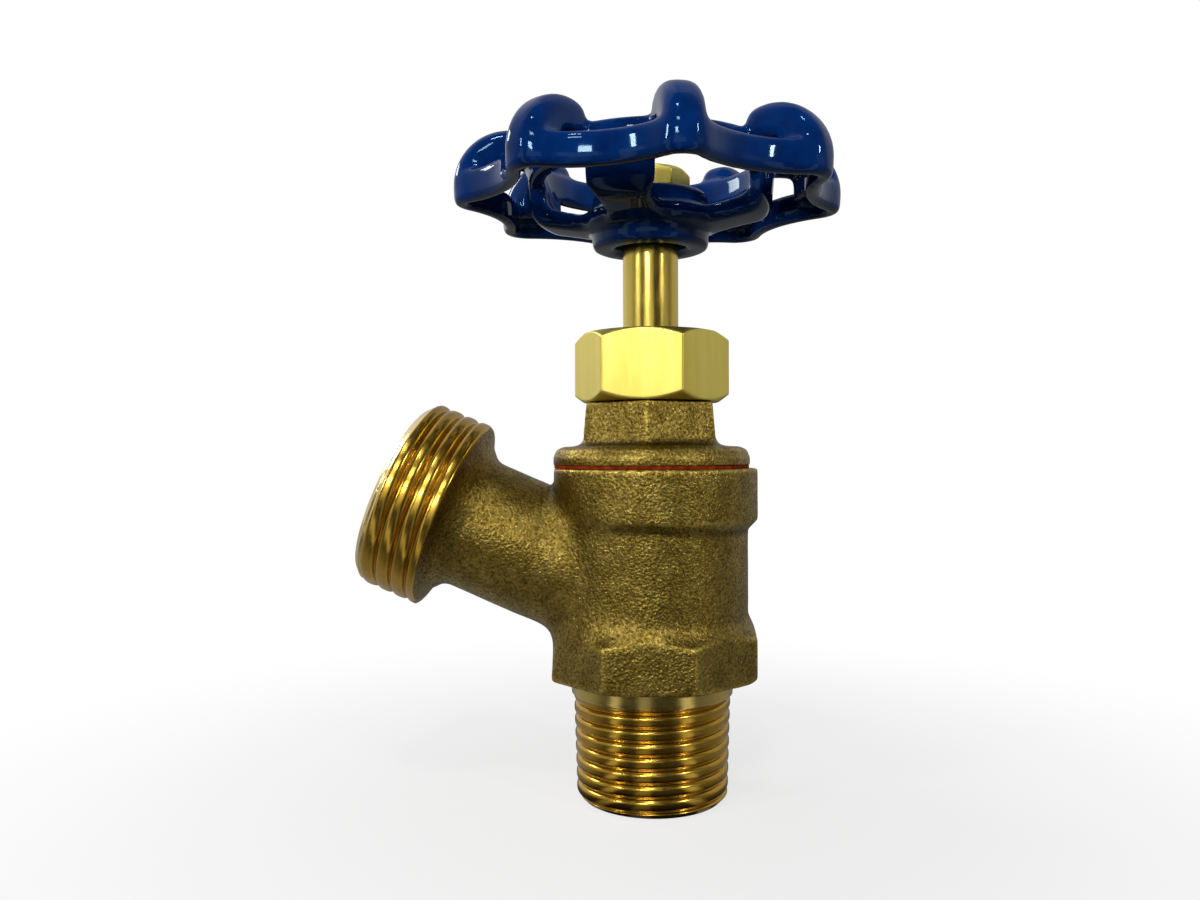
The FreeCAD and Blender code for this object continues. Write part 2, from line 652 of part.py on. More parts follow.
def seatScrew():
    headBottom = washerBottom - size["screwHeadHeight"]
    crown = size["screwHeadHeight"] / 2
    blank = turned("SeatScrewBlank", [
        (zero, headBottom), (size["screwHeadRadius"] - crown, headBottom),
        (size["screwHeadRadius"], headBottom + crown), (size["screwHeadRadius"], washerBottom),
        (size["screwRadius"], washerBottom),
        (size["screwRadius"], washerTop + size["screwReach"] - size["seatGap"]),
        (zero, washerTop + size["screwReach"] - size["seatGap"])])
    slot = doc.addObject("Part::Box", "ScrewSlot")
    length = size["screwHeadRadius"] * 2 + overshoot * 2
    bind(slot, {"Length": length, "Width": size["screwSlotWidth"], "Height": crown + overshoot,
                "Placement.Base.x": zero - length / 2,
                "Placement.Base.y": zero - size["screwSlotWidth"] / 2,
                "Placement.Base.z": headBottom - overshoot})
    return cutAway("SeatScrew", blank, [slot])


# Handwheel: lobed rim, knuckles, dished spokes and hub


def rimOutline(inset, height):
    """Lobed outline of arcs, moved in by the inset; one lobe points to the front."""
    lobes = int(round(size["wheelLobes"].value))
    step = 2 * math.pi / lobes
    tipRound = size["wheelTipRound"].value
    valley = rimValley.value
    tipCentre = size["wheelTipRadius"].value - tipRound
    fall = tipRound - valley
    valleyCentre = (tipCentre ** 2 - fall ** 2) / (2 * (tipCentre * math.cos(step / 2) + fall))
    reach = tipRound / (tipRound + valleyCentre - valley)

    def at(radius, angle):
        return Vector(radius * math.cos(angle), radius * math.sin(angle), height)

    edges = []
    for lobe in range(lobes):
        angle = lobe * step - math.pi / 2
        tip = at(tipCentre, angle)
        joins = []
        for side in (-1, 1):
            centre = at(valleyCentre, angle + side * step / 2)
            meet = tip + (centre - tip) * reach
            joins.append(meet + (tip - meet).normalize() * inset)
        edges.append(Part.Arc(joins[0], at(tipCentre + tipRound - inset, angle), joins[1]).toShape())
        centre = at(valleyCentre, angle + step / 2)
        turn = Rotation(Vector(0, 0, 1), math.degrees(step))
        after = turn.multVec(joins[0] - Vector(0, 0, height)) + Vector(0, 0, height)
        edges.append(Part.Arc(joins[1], at(valley - inset, angle + step / 2), after).toShape())
    return Part.Wire(edges)


def rimBand():
    """Upright lobed wall with broken outer edges."""
    low = hubBottom.value + size["rimRise"].value
    high = low + size["rimWall"].value
    edge = size["rimEdge"].value
    outer = Part.makeLoft([rimOutline(edge, low), rimOutline(0, low + edge),
                           rimOutline(0, high - edge), rimOutline(edge, high)], True, True)
    thickness = size["rimThickness"].value
    hollow = Part.makeLoft([rimOutline(thickness, low - overshoot.value),
                            rimOutline(thickness, high + overshoot.value)], True, True)
    return outer.cut(hollow)


def knuckle():
    """Upright rounded block that bridges from the front lobe to the inner ring."""
    radius = size["knuckleRadius"].value
    width = size["knuckleWidth"].value
    height = hubBottom.value + size["knuckleHeight"].value
    low = hubBottom.value + size["rimRise"].value + size["rimWall"].value / 2
    centre = Vector(-width / 2, -(size["wheelTipRadius"].value - radius), height)
    disc = Part.makeCylinder(radius, width, centre, Vector(1, 0, 0))
    disc.rotate(centre, Vector(1, 0, 0), 180)  # its seam goes to the side that is cut off
    inner = (ringRadius - size["knuckleBite"]).value
    keep = Part.makeBox(width * 2, radius * 4, radius * 4,
                        Vector(-width, -inner - radius * 4, low))
    block = disc.common(keep)
    soft = [edge for edge in block.Edges if edge.BoundBox.ZMax > low + 0.01]
    rounded = block.makeFillet(min(size["knuckleRound"].value, width * 0.45), soft)
    rim = (rimValley - size["rimThickness"]).value
    bridge = (ringTop - size["knuckleSeat"]).value
    under = Part.makeBox(width * 2, rim, bridge - low + overshoot.value,
                         Vector(-width, -rim, low - overshoot.value))
    return rounded.cut(under)


def dish():
    """Hub and four spokes that run outwards and bend up into the inner ring."""
    base = hubBottom.value
    rise = base + size["spokeRise"].value
    bend = rise + size["dishRise"].value
    top = ringTop.value
    thickness = size["dishThickness"].value
    hub = size["hubRadius"].value
    foot = size["dishRadius"].value
    head = ringRadius.value
    outline = [(0, rise), (hub, rise), (foot, bend), (head, top), (head - thickness, top),
               (foot - thickness, bend + thickness), (hub, rise + thickness),
               (0, rise + thickness)]
    corners = [Vector(across, 0, up) for across, up in outline]
    plate = Part.Face(Part.makePolygon(corners + corners[:1]))
    web = plate.revolve(Vector(), Vector(0, 0, 1), 360)
    web = roundCircle(web, foot, bend, size["dishRound"].value)
    web = roundCircle(web, foot - thickness, bend + thickness, size["dishRound"].value / 2)
    web = roundCircle(web, head, top, thickness / 3)
    web = roundCircle(web, head - thickness, top, thickness / 3)
    for quarter in range(4):
        window = windowTool(base, top - size["ringHeight"].value - base)
        turn = 360.0 / size["wheelLobes"].value / 2 + quarter * 90
        window.rotate(Vector(), Vector(0, 0, 1), turn)
        web = web.cut(window)
    hubBlank = Part.makeCylinder(hub, size["hubHeight"].value, Vector(0, 0, base))
    rims = [edge for edge in hubBlank.Edges if isinstance(edge.Curve, Part.Circle)]
    return web.fuse(hubBlank.makeFillet(size["rimEdge"].value, rims))


def roundCircle(solid, radius, height, amount):
    """Round the circular edge that has this radius and height."""
    edges = [edge for edge in solid.Edges if isinstance(edge.Curve, Part.Circle)
             and abs(edge.Curve.Radius - radius) < 0.01
             and abs(edge.Curve.Center.z - height) < 0.01]
    return solid.makeFillet(amount, edges)


def windowTool(low, height):
    """Rounded window towards the front, between two spokes at 45 degrees."""
    inner = size["windowInnerRadius"].value
    outer = (ringRadius + overshoot).value
    half = size["spokeWidth"].value / 2
    corners = []
    for radius in (inner, outer):
        swing = math.pi / 4 - math.asin(half / radius)
        corners.append((radius, swing))

    def at(radius, swing):
        return Vector(radius * math.sin(swing), -radius * math.cos(swing), low)

    (inner, innerSwing), (outer, outerSwing) = corners
    edges = [
        Part.Arc(at(inner, -innerSwing), at(inner, 0), at(inner, innerSwing)).toShape(),
        Part.LineSegment(at(inner, innerSwing), at(outer, outerSwing)).toShape(),
        Part.Arc(at(outer, outerSwing), at(outer, 0), at(outer, -outerSwing)).toShape(),
        Part.LineSegment(at(outer, -outerSwing), at(inner, -innerSwing)).toShape()]
    block = Part.Face(Part.Wire(edges)).extrude(Vector(0, 0, height))
    upright = [edge for edge in block.Edges
               if abs(edge.Vertexes[0].Z - edge.Vertexes[-1].Z) > height / 2]
    return block.makeFillet(size["windowRound"].value, upright)


def handwheel():
    wheel = rimBand().fuse(dish())
    lobes = int(round(size["wheelLobes"].value))
    disc = knuckle()
    for lobe in range(lobes):
        copy = disc.copy()
        copy.rotate(Vector(), Vector(0, 0, 1), 360.0 * lobe / lobes)
        wheel = wheel.fuse(copy)
    wheel.rotate(Vector(), Vector(0, 0, 1), size["wheelTurn"].value)
    blank = doc.addObject("Part::Feature", "WheelCasting")
    blank.Shape = wheel
    square = prism("HubSquareHole", 4, size["squareFlats"] + size["squareClearance"] * 2,
                   hubBottom, size["hubHeight"] + overshoot, size["wheelTurn"])
    counter = rod("HubCounterbore", size["hubCounterRadius"], hubBottom - overshoot, stemShoulder)
    return cutAway("Handwheel", blank, [square, counter])


def handwheelNut():
    hexagon = chamferedPrism("WheelNutHexagon", size["wheelNutFlats"], hubTop, wheelNutTop,
                             size["wheelNutTurn"], size["wheelNutHeight"] / 8)
    hole = rod("WheelNutHole", size["studRadius"] + size["threadClearance"],
               hubTop - overshoot, wheelNutTop + overshoot)
    return cutAway("HandwheelNut", hexagon, [hole])


# The pieces, by node name

pieces = {
    "valve_body": valveBody(),
    "bonnet_gasket": ring("BonnetGasket", size["bonnetThreadRadius"] + size["threadClearance"],
                          size["gasketRadius"], jointFace, gasketTop),
    "bonnet": bonnet(),
    "packing_nut": packingNut(),
}

for number, name in enumerate(("packing_ring_lower", "packing_ring_middle", "packing_ring_upper")):
    low = packingFloor + size["packingRingThickness"] * number
    pieces[name] = ring(f"PackingRing{number}", packingHoleRadius,
                        size["packingBoreRadius"] - size["threadClearance"],
                        low, low + size["packingRingThickness"])

pieces["packing_gland"] = ring("PackingGland", stemHoleRadius,
                               size["packingBoreRadius"] - size["threadClearance"],
                               packingTop, nutCeiling)
pieces["stem"] = stem()
pieces["disc_holder"] = discHolder()
pieces["seat_washer"] = seatWasher()
pieces["seat_screw"] = seatScrew()
pieces["handwheel"] = handwheel()
pieces["handwheel_nut"] = handwheelNut()

doc.recompute()

for thing in doc.Objects:
    if "Invalid" in thing.State or "Error" in thing.State:
        raise RuntimeError(f"{thing.Name} failed: {thing.State}")

for node, piece in pieces.items():
    piece.Label = node
    shape = piece.Shape
    if shape.isNull() or not shape.isValid():
        raise RuntimeError(f"{node} has no valid shape")
    if len(shape.Solids) != 1:
        raise RuntimeError(f"{node} is {len(shape.Solids)} solids")

os.makedirs("parts", exist_ok=True)
for node, piece in pieces.items():
    box = piece.Shape.BoundBox
    print(f"{node}: volume {piece.Shape.Volume:.1f}, z {box.ZMin:.2f} to {box.ZMax:.2f}")
    piece.Shape.exportStep(f"parts/{node}.step")
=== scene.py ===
import bmesh
import bpy
import math
import numpy as np
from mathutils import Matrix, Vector


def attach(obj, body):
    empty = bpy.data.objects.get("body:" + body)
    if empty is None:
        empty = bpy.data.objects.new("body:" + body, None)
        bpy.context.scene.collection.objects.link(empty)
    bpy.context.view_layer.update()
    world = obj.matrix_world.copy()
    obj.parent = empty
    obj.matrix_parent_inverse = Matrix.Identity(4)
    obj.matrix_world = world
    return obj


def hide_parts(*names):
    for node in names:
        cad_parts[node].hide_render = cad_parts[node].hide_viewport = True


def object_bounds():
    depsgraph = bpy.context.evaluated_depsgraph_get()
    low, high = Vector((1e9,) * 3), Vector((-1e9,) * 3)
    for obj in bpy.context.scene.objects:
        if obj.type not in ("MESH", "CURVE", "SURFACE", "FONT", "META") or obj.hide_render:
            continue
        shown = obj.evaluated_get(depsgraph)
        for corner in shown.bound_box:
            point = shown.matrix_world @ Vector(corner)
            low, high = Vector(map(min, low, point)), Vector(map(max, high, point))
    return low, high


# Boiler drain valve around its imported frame. Lengths in the dictionaries are millimetres and
# angles are degrees, where a note doesn't say otherwise.

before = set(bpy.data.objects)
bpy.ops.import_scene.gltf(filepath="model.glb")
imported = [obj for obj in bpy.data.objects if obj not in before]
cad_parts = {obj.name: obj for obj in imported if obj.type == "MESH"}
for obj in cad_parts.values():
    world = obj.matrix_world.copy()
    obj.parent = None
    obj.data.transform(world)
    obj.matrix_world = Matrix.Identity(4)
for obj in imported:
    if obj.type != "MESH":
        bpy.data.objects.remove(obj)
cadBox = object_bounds()
mm = 0.001
print("frame loaded:", len(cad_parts), "nodes")


# Meshes

def gridFaces(rows, columns):
    # quads between neighbouring rows and columns; both run round and close
    row = np.arange(rows)[:, None]
    column = np.arange(columns)[None, :]
    nextRow = (row + 1) % rows
    nextColumn = (column + 1) % columns
    corners = [row * columns + column, row * columns + nextColumn,
               nextRow * columns + nextColumn, nextRow * columns + column]
    return np.stack(np.broadcast_arrays(*corners), -1).reshape(-1, 4)


def addPiece(name, points, faces, body, material):
    # a new piece from a grid of points in millimetres
    mesh = bpy.data.meshes.new(name)
    mesh.from_pydata((np.asarray(points).reshape(-1, 3) * mm).tolist(), [], faces.tolist())
    mesh.validate()
    return dressPiece(name, mesh, body, material)


def dressPiece(name, mesh, body, material):
    # a smooth piece with its faces outwards and one material, carried by a body
    work = bmesh.new()
    work.from_mesh(mesh)
    bmesh.ops.recalc_face_normals(work, faces=work.faces)
    work.to_mesh(mesh)
    work.free()
    mesh.polygons.foreach_set("use_smooth", np.ones(len(mesh.polygons), bool))
    piece = bpy.data.objects.new(name, mesh)
    bpy.context.scene.collection.objects.link(piece)
    mesh.materials.clear()
    mesh.materials.append(material)
    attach(piece, body)
    return piece


def smoothMin(first, second, blend):
    # the lower of two heights, rounded over the blend length where they cross
    near = np.clip(0.5 + 0.5 * (second - first) / blend, 0.0, 1.0)
    return second + (first - second) * near - blend * near * (1.0 - near)


def densify(corners, step):
    # points at most a step apart on the straight runs between corners
    corners = np.array(corners, float)
    runs = []
    for start, end in zip(corners[:-1], corners[1:]):
        count = max(1, int(math.ceil(np.abs(end - start).max() / step)))
        runs.append(start + (end - start) * (np.arange(count) / count)[:, None])
    return np.vstack(runs + [corners[-1:]])


def roundAngles(columns):
    # the angles of a grid's columns round its axis, as one row
    return np.linspace(0, 2 * math.pi, columns, endpoint=False)[None, :]


def threadCut(angle, along, pitch, depth, power):
    # depth of a right-hand thread with rounded crests and narrow grooves: the distance from
    # the crest's middle, in half pitches, raised to a power, times the whole depth
    phase = np.mod(along / pitch - angle / (2 * math.pi) + 0.5, 1.0)
    return depth * np.abs(phase * 2.0 - 1.0) ** power


# Materials: every one is procedural, on Object coordinates. Scales are repeats per metre.

noiseSpread = (0.3, 0.7)  # the noise values between which a roughness changes
castSpread = (0.65, 0.35)  # the same on the castings, whose high grains are smoother


def newMaterial(name):
    material = bpy.data.materials.new(name)
    material.use_nodes = True
    nodes = material.node_tree.nodes
    return material, nodes, material.node_tree.links, nodes["Principled BSDF"]


def noiseNode(nodes, links, scale, detail=4.0, roughness=0.55, stretch=(1.0, 1.0, 1.0)):
    place = nodes.new("ShaderNodeTexCoord")
    mapping = nodes.new("ShaderNodeMapping")
    mapping.inputs["Scale"].default_value = stretch
    noise = nodes.new("ShaderNodeTexNoise")
    noise.inputs["Scale"].default_value = scale
    noise.inputs["Detail"].default_value = detail
    noise.inputs["Roughness"].default_value = roughness
    links.new(place.outputs["Object"], mapping.inputs["Vector"])
    links.new(mapping.outputs["Vector"], noise.inputs["Vector"])
    return noise


def rampNode(nodes, links, source, stops):
    ramp = nodes.new("ShaderNodeValToRGB")
    elements = ramp.color_ramp.elements
    elements.remove(elements[-1])
    elements[0].position = stops[0][0]
    elements[0].color = (*stops[0][1], 1.0)
    for place, colour in stops[1:]:
        elements.new(place).color = (*colour, 1.0)
    links.new(source, ramp.inputs["Fac"])
    return ramp


def rangeNode(nodes, links, source, fromLow, fromHigh, toLow, toHigh):
    # a value moved in proportion from one range to another, and kept inside it
    spread = nodes.new("ShaderNodeMapRange")
    for name, value in (("From Min", fromLow), ("From Max", fromHigh),
                        ("To Min", toLow), ("To Max", toHigh)):
        spread.inputs[name].default_value = value
    links.new(source, spread.inputs["Value"])
    return spread


def mathNode(nodes, links, operation, first, second=None):
    # a number for second is set on the socket, anything else is linked
    if operation == "LENGTH":
        node = nodes.new("ShaderNodeVectorMath")
        node.operation = operation
        links.new(first, node.inputs[0])
        return node.outputs["Value"]
    node = nodes.new("ShaderNodeMath")
    node.operation = operation
    for socket, source in zip(node.inputs, (first, second)):
        if isinstance(source, float):
            socket.default_value = source
        else:
            links.new(source, socket)
    return node.outputs[0]


def bumpNode(nodes, links, height, depth, normal=None):
    bump = nodes.new("ShaderNodeBump")
    bump.inputs["Strength"].default_value = 1.0
    bump.inputs["Distance"].default_value = depth * mm
    links.new(height, bump.inputs["Height"])
    if normal is not None:
        links.new(normal, bump.inputs["Normal"])
    return bump


def bandNode(nodes, links, band):
    # 0 below the band's low edge and 1 past its high edge, along a direction from the origin
    place = nodes.new("ShaderNodeTexCoord").outputs["Object"]
    project = nodes.new("ShaderNodeVectorMath")
    project.operation = "DOT_PRODUCT"
    project.inputs[1].default_value = band["along"]
    links.new(place, project.inputs[0])
    return rangeNode(nodes, links, project.outputs["Value"], band["low"] * mm,
                     band["high"] * mm, 0.0, 1.0)


def metalMaterial(name, look, band=None):
    # metal whose colour and roughness wander between limits, over a grain and a coarser wave;
    # a band, where given, is a paler turned face, and on the hose's mouth partly a painted
    # highlight
    material, nodes, links, shader = newMaterial(name)
    shader.inputs["Metallic"].default_value = 1.0
    patches = noiseNode(nodes, links, look["patchScale"], detail=5.0, roughness=0.6,
                        stretch=look["stretch"])
    colour = rampNode(nodes, links, patches.outputs["Fac"], look["colours"]).outputs["Color"]
    if band is not None:
        paleFaceAndHighlight = nodes.new("ShaderNodeMix")
        paleFaceAndHighlight.data_type = "RGBA"
        links.new(bandNode(nodes, links, band).outputs["Result"], paleFaceAndHighlight.inputs["Factor"])
        links.new(colour, paleFaceAndHighlight.inputs["A"])
        paleFaceAndHighlight.inputs["B"].default_value = (*band["colour"], 1.0)
        colour = paleFaceAndHighlight.outputs["Result"]
    links.new(colour, shader.inputs["Base Color"])
    grain = noiseNode(nodes, links, look["grainScale"], detail=3.0, roughness=0.6,
                      stretch=look["stretch"])
    rough = rangeNode(nodes, links, grain.outputs["Fac"], *noiseSpread, *look["roughness"])
    links.new(rough.outputs["Result"], shader.inputs["Roughness"])
    fine = bumpNode(nodes, links, grain.outputs["Fac"], look["grainDepth"])
    wave = bumpNode(nodes, links, patches.outputs["Fac"], look["waveDepth"],
                    fine.outputs["Normal"])
    links.new(wave.outputs["Normal"], shader.inputs["Normal"])
    return material


def pebbleNode(nodes, links, look):
    # round grains packed side by side: 1 in the middle, 0 at the pebble's reach
    place = nodes.new("ShaderNodeTexCoord")
    cells = nodes.new("ShaderNodeTexVoronoi")
    cells.feature = "SMOOTH_F1"
    cells.inputs["Scale"].default_value = look["pebbleScale"]
    cells.inputs["Smoothness"].default_value = look["pebbleBlend"]
    links.new(place.outputs["Object"], cells.inputs["Vector"])
    return rangeNode(nodes, links, cells.outputs["Distance"], 0.0, look["pebbleReach"], 1.0, 0.0)


def timesNode(nodes, links, first, second):
    # one colour multiplied by another
    both = nodes.new("ShaderNodeMix")
    both.data_type = "RGBA"
    both.blend_type = "MULTIPLY"
    both.inputs["Factor"].default_value = 1.0
    links.new(first, both.inputs["A"])
    links.new(second, both.inputs["B"])
    return both.outputs["Result"]


def castMaterial(name, look):
    # sand-cast metal: slow patches of colour, dark pits and bright grains, all in relief, and
    # paler edges, partly rubbed wear and partly painted highlight, and painted shade in the
    # hollows, after the mesh's wear-and-shade attribute
    material, nodes, links, shader = newMaterial(name)
    shader.inputs["Metallic"].default_value = 1.0
    patches = noiseNode(nodes, links, look["patchScale"], detail=5.0, roughness=0.6)
    colours = rampNode(nodes, links, patches.outputs["Fac"], look["colours"])
    grain = noiseNode(nodes, links, look["grainScale"], detail=3.0, roughness=0.7)
    pits = rampNode(nodes, links, grain.outputs["Fac"], look["grainColours"])
    wearAndShade = nodes.new("ShaderNodeAttribute")
    wearAndShade.attribute_name = "wearAndShade"
    wornAndShaded = rangeNode(nodes, links, wearAndShade.outputs["Fac"], -1.0, 1.0, 0.0, 1.0)
    # the hollows' dark stop is painted shade; the edges' stops above white are painted highlight
    # over rubbed wear
    edges = rampNode(nodes, links, wornAndShaded.outputs["Result"], look["wearAndShadeColours"])
    grained = timesNode(nodes, links, colours.outputs["Color"], pits.outputs["Color"])
    links.new(timesNode(nodes, links, grained, edges.outputs["Color"]),
              shader.inputs["Base Color"])
    rough = rangeNode(nodes, links, grain.outputs["Fac"], *castSpread, *look["roughness"])
    links.new(rough.outputs["Result"], shader.inputs["Roughness"])
    pebbles = pebbleNode(nodes, links, look)
    fine = bumpNode(nodes, links, grain.outputs["Fac"], look["grainDepth"])
    coarse = bumpNode(nodes, links, pebbles.outputs["Result"], look["pebbleDepth"],
                      fine.outputs["Normal"])
    wave = bumpNode(nodes, links, patches.outputs["Fac"], look["waveDepth"],
                    coarse.outputs["Normal"])
    links.new(wave.outputs["Normal"], shader.inputs["Normal"])
    return material


def plainMaterial(name, look):
    # non-metal with a mottled colour, a grain and a tinted gloss
    material, nodes, links, shader = newMaterial(name)
    patches = noiseNode(nodes, links, look["patchScale"], roughness=0.5)
    colours = rampNode(nodes, links, patches.outputs["Fac"], look["colours"])
    links.new(colours.outputs["Color"], shader.inputs["Base Color"])
    grain = noiseNode(nodes, links, look["grainScale"], detail=3.0)
    rough = rangeNode(nodes, links, grain.outputs["Fac"], *noiseSpread, *look["roughness"])
    links.new(rough.outputs["Result"], shader.inputs["Roughness"])
    fine = bumpNode(nodes, links, grain.outputs["Fac"], look["grainDepth"])
    links.new(fine.outputs["Normal"], shader.inputs["Normal"])
    shader.inputs["Specular IOR Level"].default_value = look["gloss"]
    shader.inputs["Specular Tint"].default_value = (*look["tint"], 1.0)
    return material


# A look's colours are (noise value, colour) and its depths are millimetres of relief.

castLook = {
    "colours": [(0.34, (0.285, 0.194, 0.036)), (0.50, (0.360, 0.252, 0.049)),
                (0.66, (0.460, 0.333, 0.074))],
    "grainColours": [(0.30, (0.20, 0.19, 0.16)), (0.44, (0.56, 0.55, 0.52)),
                     (0.56, (0.88, 0.88, 0.88)), (0.66, (1.0, 1.0, 1.0))],
    # edge and hollow colours: the dark stop is painted shade in hollows; the pale stops are
    # rubbed wear on edges, and above white a painted highlight
    "wearAndShadeColours": [(0.20, (0.35, 0.33, 0.30)), (0.46, (0.96, 0.96, 0.96)),
                    (0.60, (1.0, 1.0, 1.0)), (0.90, (1.8, 1.85, 1.9))],
    "patchScale": 380.0, "grainScale": 2400.0, "roughness": (0.27, 0.46),
    "pebbleScale": 2900.0, "pebbleBlend": 0.6, "pebbleReach": 0.8,
    "grainDepth": 0.10, "pebbleDepth": 0.06, "waveDepth": 0.015,
}
threadLook = {
    "colours": [(0.30, (0.46, 0.268, 0.033)), (0.70, (0.60, 0.372, 0.056))],
    "patchScale": 260.0, "grainScale": 1700.0, "stretch": (1.0, 1.0, 0.6),
    "roughness": (0.18, 0.26), "grainDepth": 0.0015, "waveDepth": 0.002,
}
brightLook = {
    "colours": [(0.30, (0.78, 0.62, 0.105)), (0.70, (0.88, 0.74, 0.175))],
    "patchScale": 230.0, "grainScale": 2600.0, "stretch": (1.0, 1.0, 0.08),
    "roughness": (0.33, 0.44), "grainDepth": 0.006, "waveDepth": 0.008,
}
turnedLook = {
    "colours": [(0.30, (0.56, 0.40, 0.065)), (0.70, (0.72, 0.56, 0.125))],
    "patchScale": 240.0, "grainScale": 2600.0, "stretch": (1.0, 1.0, 0.12),
    "roughness": (0.13, 0.26), "grainDepth": 0.0035, "waveDepth": 0.0015,
}
enamelLook = {
    "colours": [(0.35, (0.0008, 0.024, 0.150)), (0.65, (0.0013, 0.038, 0.220))],
    "patchScale": 300.0, "grainScale": 900.0, "roughness": (0.04, 0.07),
    "grainDepth": 0.002, "gloss": 0.26, "tint": (0.52, 0.80, 1.0),
}
fibreLook = {
    "colours": [(0.35, (0.16, 0.016, 0.003)), (0.65, (0.42, 0.052, 0.009))],
    "patchScale": 900.0, "grainScale": 3600.0, "roughness": (0.7, 0.9),
    "grainDepth": 0.03, "gloss": 0.1, "tint": (1.0, 1.0, 1.0),
}
rubberLook = {
    "colours": [(0.35, (0.012, 0.012, 0.012)), (0.65, (0.03, 0.03, 0.03))],
    "patchScale": 700.0, "grainScale": 3000.0, "roughness": (0.5, 0.7),
    "grainDepth": 0.01, "gloss": 0.5, "tint": (1.0, 1.0, 1.0),
}
packingLook = {
    "colours": [(0.35, (0.03, 0.03, 0.03)), (0.65, (0.10, 0.10, 0.095))],
    "patchScale": 1300.0, "grainScale": 3000.0, "roughness": (0.45, 0.7),
    "grainDepth": 0.05, "gloss": 0.5, "tint": (1.0, 1.0, 1.0),
}
castBronze = castMaterial("castBronze", castLook)
brightBrass = metalMaterial("brightBrass", brightLook)
turnedBrass = metalMaterial("turnedBrass", turnedLook)
blueEnamel = plainMaterial("blueEnamel", enamelLook)
redFibre = plainMaterial("redFibre", fibreLook)
blackRubber = plainMaterial("blackRubber", rubberLook)
packingYarn = plainMaterial("packingYarn", packingLook)
print("materials made")


# Castings: a closed copy of the frame's solid, covered with small even faces and softened

weld = {"doubles": 0.002, "plane": 0.0005}  # points closer than this are one point, or on a cut


def mergedCopy(node, cuts=()):
    # each cut is a point and the direction of what goes; the opening is capped
    work = bmesh.new()
    work.from_mesh(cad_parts[node].data)
    bmesh.ops.remove_doubles(work, verts=work.verts, dist=weld["doubles"] * mm)
    for point, outwards in cuts:
        found = bmesh.ops.bisect_plane(
            work, geom=work.verts[:] + work.edges[:] + work.faces[:], dist=weld["plane"] * mm,
            plane_co=point, plane_no=outwards, clear_outer=True)
        rim = [item for item in found["geom_cut"] if isinstance(item, bmesh.types.BMEdge)]
        bmesh.ops.triangle_fill(work, edges=rim, use_beauty=True, use_dissolve=False)
    mesh = bpy.data.meshes.new(node + "Copy")
    work.to_mesh(mesh)
    work.free()
    return mesh


def modified(name, mesh, kind, settings):
    # the mesh as one modifier with these settings leaves it
    blank = bpy.data.objects.new(name + "Blank", mesh)
    bpy.context.scene.collection.objects.link(blank)
    modifier = blank.modifiers.new(kind, kind)
    for setting, value in settings.items():
        setattr(modifier, setting, value)
    made = bpy.data.meshes.new_from_object(
        blank.evaluated_get(bpy.context.evaluated_depsgraph_get()))
    bpy.data.objects.remove(blank)
    made.name = name
    return made


def evenSkin(name, mesh, look):
    # closed skin of small even faces over a solid
    return modified(name, mesh, "REMESH", {"mode": "VOXEL", "voxel_size": look["voxel"] * mm,
                                           "adaptivity": 0.0})


def waved(name, mesh, look):
    # slow waviness of the surface, always inwards
    clouds = bpy.data.textures.new(name + "Waves", "CLOUDS")
    clouds.noise_scale = look["waveLength"] * mm
    clouds.noise_depth = 2
    return modified(name, mesh, "DISPLACE", {"texture": clouds, "texture_coords": "LOCAL",
                                             "strength": look["waveHeight"] * mm,
                                             "mid_level": 1.0})


def meshPoints(mesh):
    # the mesh's points in millimetres
    points = np.empty(len(mesh.vertices) * 3)
    mesh.vertices.foreach_get("co", points)
    return points.reshape(-1, 3) / mm


def setPoints(mesh, points):
    mesh.vertices.foreach_set("co", (points * mm).ravel())
    mesh.update()


halfWay = 0.5  # how far each round of easing moves a point towards its neighbours' mean


def easedPoints(mesh, rounds, share):
    # each round moves every point by its share of the way to the mean of its neighbours
    edges = np.empty(len(mesh.edges) * 2, np.int32)
    mesh.edges.foreach_get("vertices", edges)
    start, end = edges.reshape(-1, 2).T
    points = meshPoints(mesh)
    count = len(points)
    near = np.bincount(start, minlength=count) + np.bincount(end, minlength=count)
    for turn in range(rounds):
        total = np.stack([np.bincount(start, points[end, axis], count)
                          + np.bincount(end, points[start, axis], count)
                          for axis in range(3)], -1)
        points += (total / near[:, None] - points) * share[:, None]
    return points


def markWearAndShade(mesh, look):
    # how far each point stands out of its own eased surface, as a share of the wear depth:
    # above 0 on edges, below 0 in hollows; the castings paint shade into the hollows from it,
    # and rubbed wear with painted highlight onto the edges
    share = np.full(len(mesh.vertices), halfWay)
    moved = meshPoints(mesh) - easedPoints(mesh, look["wearAndShadeRounds"], share)
    outwards = np.empty(len(mesh.vertices) * 3)
    mesh.vertices.foreach_get("normal", outwards)
    standing = (moved * outwards.reshape(-1, 3)).sum(axis=1)
    mesh.attributes.new("wearAndShade", "FLOAT", "POINT").data.foreach_set(
        "value", standing / look["wearAndShadeDepth"])


def softened(name, mesh, look, hollows=None, reshape=None):
    # an even skin: reshaped, then eased in its hollow corners and a little all over, then
    # waved, and its wear and painted shade marked where the look has a depth for it
    skin = evenSkin(name, mesh, look)
    if reshape is not None:
        setPoints(skin, reshape(meshPoints(skin), look))
    if hollows is not None:
        share = halfWay * hollows(meshPoints(skin), look)
        setPoints(skin, easedPoints(skin, look["hollowRounds"], share))
    share = np.full(len(skin.vertices), halfWay)
    setPoints(skin, easedPoints(skin, look["smoothing"], share))
    skin = waved(name, skin, look)
    if "wearAndShadeDepth" in look:
        markWearAndShade(skin, look)
    return skin


spoutAxis = {"rise": 23.2, "height": 26.75}  # degrees, and where it meets the stem's axis
spoutRise = math.radians(spoutAxis["rise"])
spoutUp = np.array([-math.cos(spoutRise), 0.0, math.sin(spoutRise)])
spoutSide = np.array([0.0, 1.0, 0.0])
spoutAcross = np.cross(spoutSide, spoutUp)
spoutStart = np.array([0.0, 0.0, spoutAxis["height"]])
